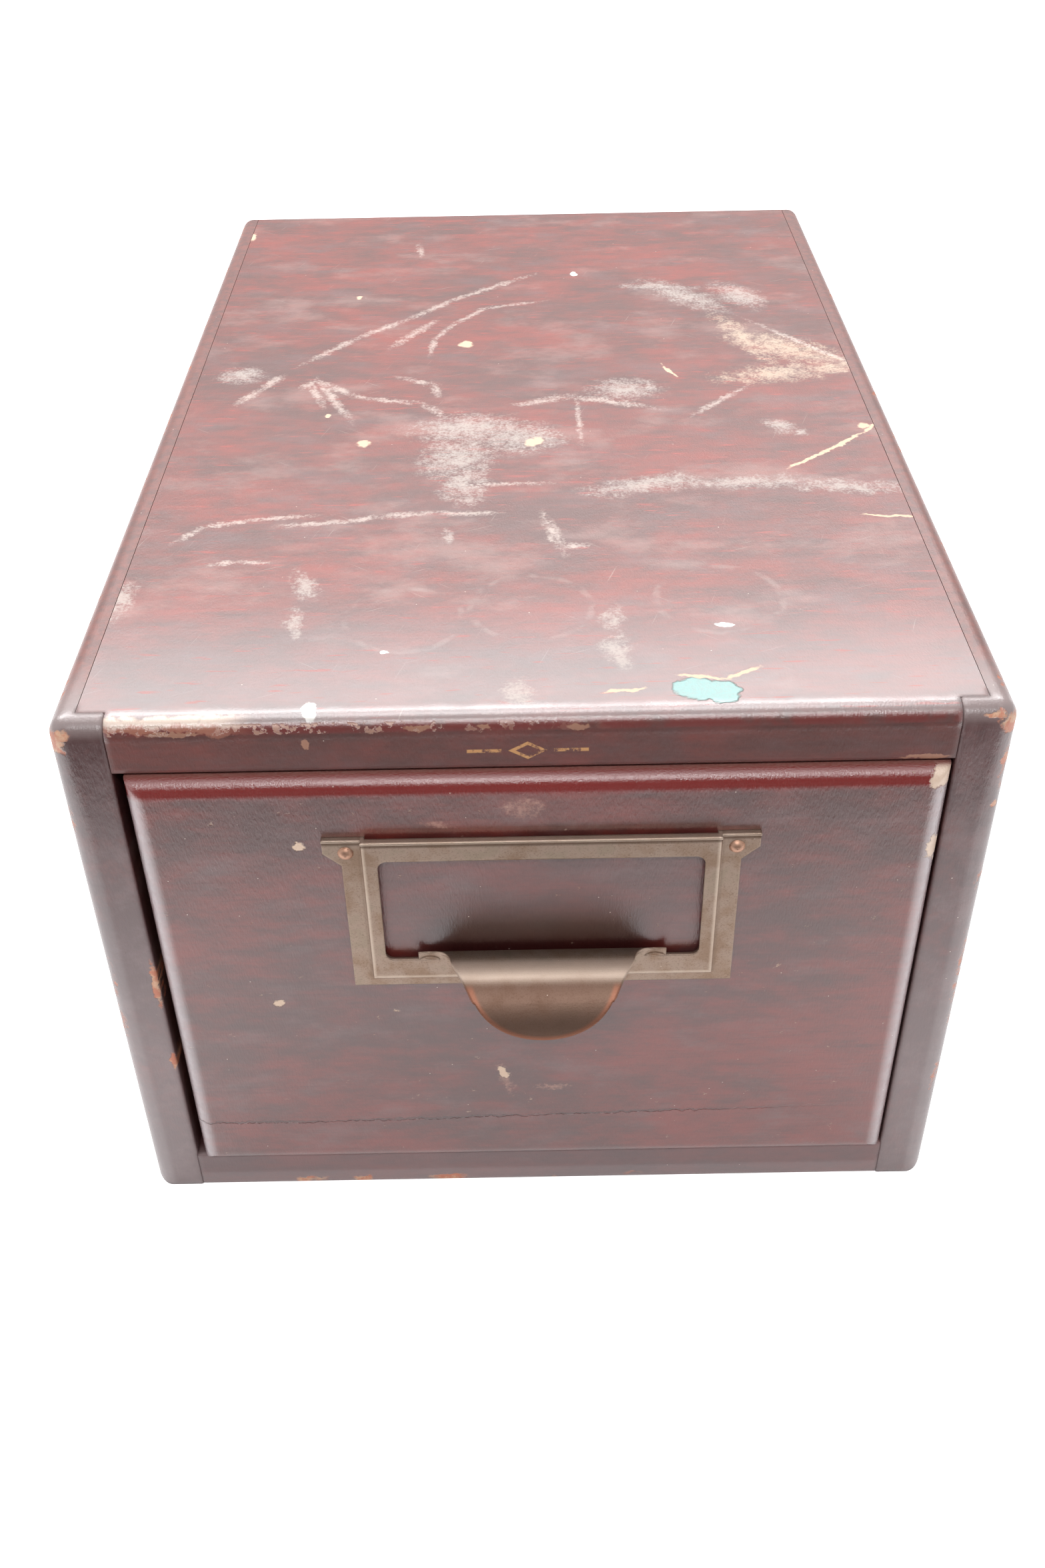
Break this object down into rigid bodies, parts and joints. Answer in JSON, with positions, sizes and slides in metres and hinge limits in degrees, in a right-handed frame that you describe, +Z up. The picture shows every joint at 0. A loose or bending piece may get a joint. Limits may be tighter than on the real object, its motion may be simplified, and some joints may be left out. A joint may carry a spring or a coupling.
{
  "type": "index card drawer",
  "caption": "Desk-top wooden case with a sliding drawer for index cards, a metal label holder with a finger pull, and a locking follower behind the cards.",
  "frame": {"origin": "centre of the case's footprint, on the surface that it stands on", "axes": "+Z up, +Y from the drawer front to the back of the case, +X to the user's right when facing the drawer"},
  "size_m": [0.168, 0.2815, 0.125],
  "materials": {
    "mahogany_top": "dark red-brown mahogany finish, glossy varnish, scuffed",
    "mahogany_side": "dark red-brown mahogany finish, glossy varnish, worn edges",
    "mahogany_rail": "dark red-brown mahogany finish, glossy varnish",
    "mahogany_front": "dark red-brown mahogany finish, glossy crazed varnish",
    "back_panel": "thin stained panel, satin",
    "strip_wood": "bare hardwood",
    "drawer_wood": "bare pale wood, aged",
    "drawer_panel": "bare thin panel, aged",
    "button_wood": "bare hardwood",
    "follower_wood": "stained wood, satin varnish",
    "bronzed_plate": "aged bronze plating, olive brown, satin",
    "bronzed_pins": "worn bronze plating, copper showing",
    "brass_screws": "tarnished brass",
    "fastener_steel": "dull steel",
    "track_steel": "bright steel, worn",
    "shoe_steel": "black japanned sheet steel",
    "lever_steel": "nickel-plated steel, dull",
    "spring_steel": "spring steel wire"
  },
  "bodies": {
    "case": {"case_top": "mahogany_top", "case_bottom": "mahogany_rail", "case_side_left": "mahogany_side", "case_side_right": "mahogany_side", "case_back": "back_panel", "case_back_screws": "fastener_steel", "case_bottom_brads": "fastener_steel", "stop_strip": "strip_wood", "stop_strip_screws": "fastener_steel"},
    "drawer": {"drawer_front": "mahogany_front", "drawer_side_left": "drawer_wood", "drawer_side_right": "drawer_wood", "drawer_back": "drawer_wood", "drawer_bottom": "drawer_panel", "drawer_corner_brads": "fastener_steel", "drawer_bottom_brads": "fastener_steel", "label_pull": "bronzed_plate", "label_pull_pins": "bronzed_pins", "follower_track": "track_steel", "track_screws": "fastener_steel", "stop_button_screw": "brass_screws"},
    "stop_button": {"stop_button": "button_wood"},
    "follower": {"follower_board": "follower_wood", "follower_shoe": "shoe_steel", "follower_screws": "brass_screws", "lever_pin": "fastener_steel", "lever_spring": "spring_steel"},
    "lock_lever": {"lock_lever": "lever_steel"}
  },
  "joints": [
    {"name": "drawer_slide", "type": "slide", "parent": "case", "child": "drawer", "axis": [0, -1, 0], "range_m": [0, 0.2267]},
    {"name": "follower_slide", "type": "slide", "parent": "drawer", "child": "follower", "axis": [0, 1, 0], "range_m": [-0.118, 0.02]},
    {"name": "lock_lever_pivot", "type": "hinge", "parent": "follower", "child": "lock_lever", "pos_m": [0.00065, 0.0429, 0.0311], "axis": [-1, 0, 0], "range_deg": [0, 5.5], "stiffness_Nm_per_rad": 0.06, "springref_deg": -17.19, "deforming": ["lever_spring"]},
    {"name": "stop_button_turn", "type": "hinge", "parent": "drawer", "child": "stop_button", "pos_m": [0.00065, 0.1187, 0.086], "axis": [0, 1, 0], "continuous": true}
  ]
}
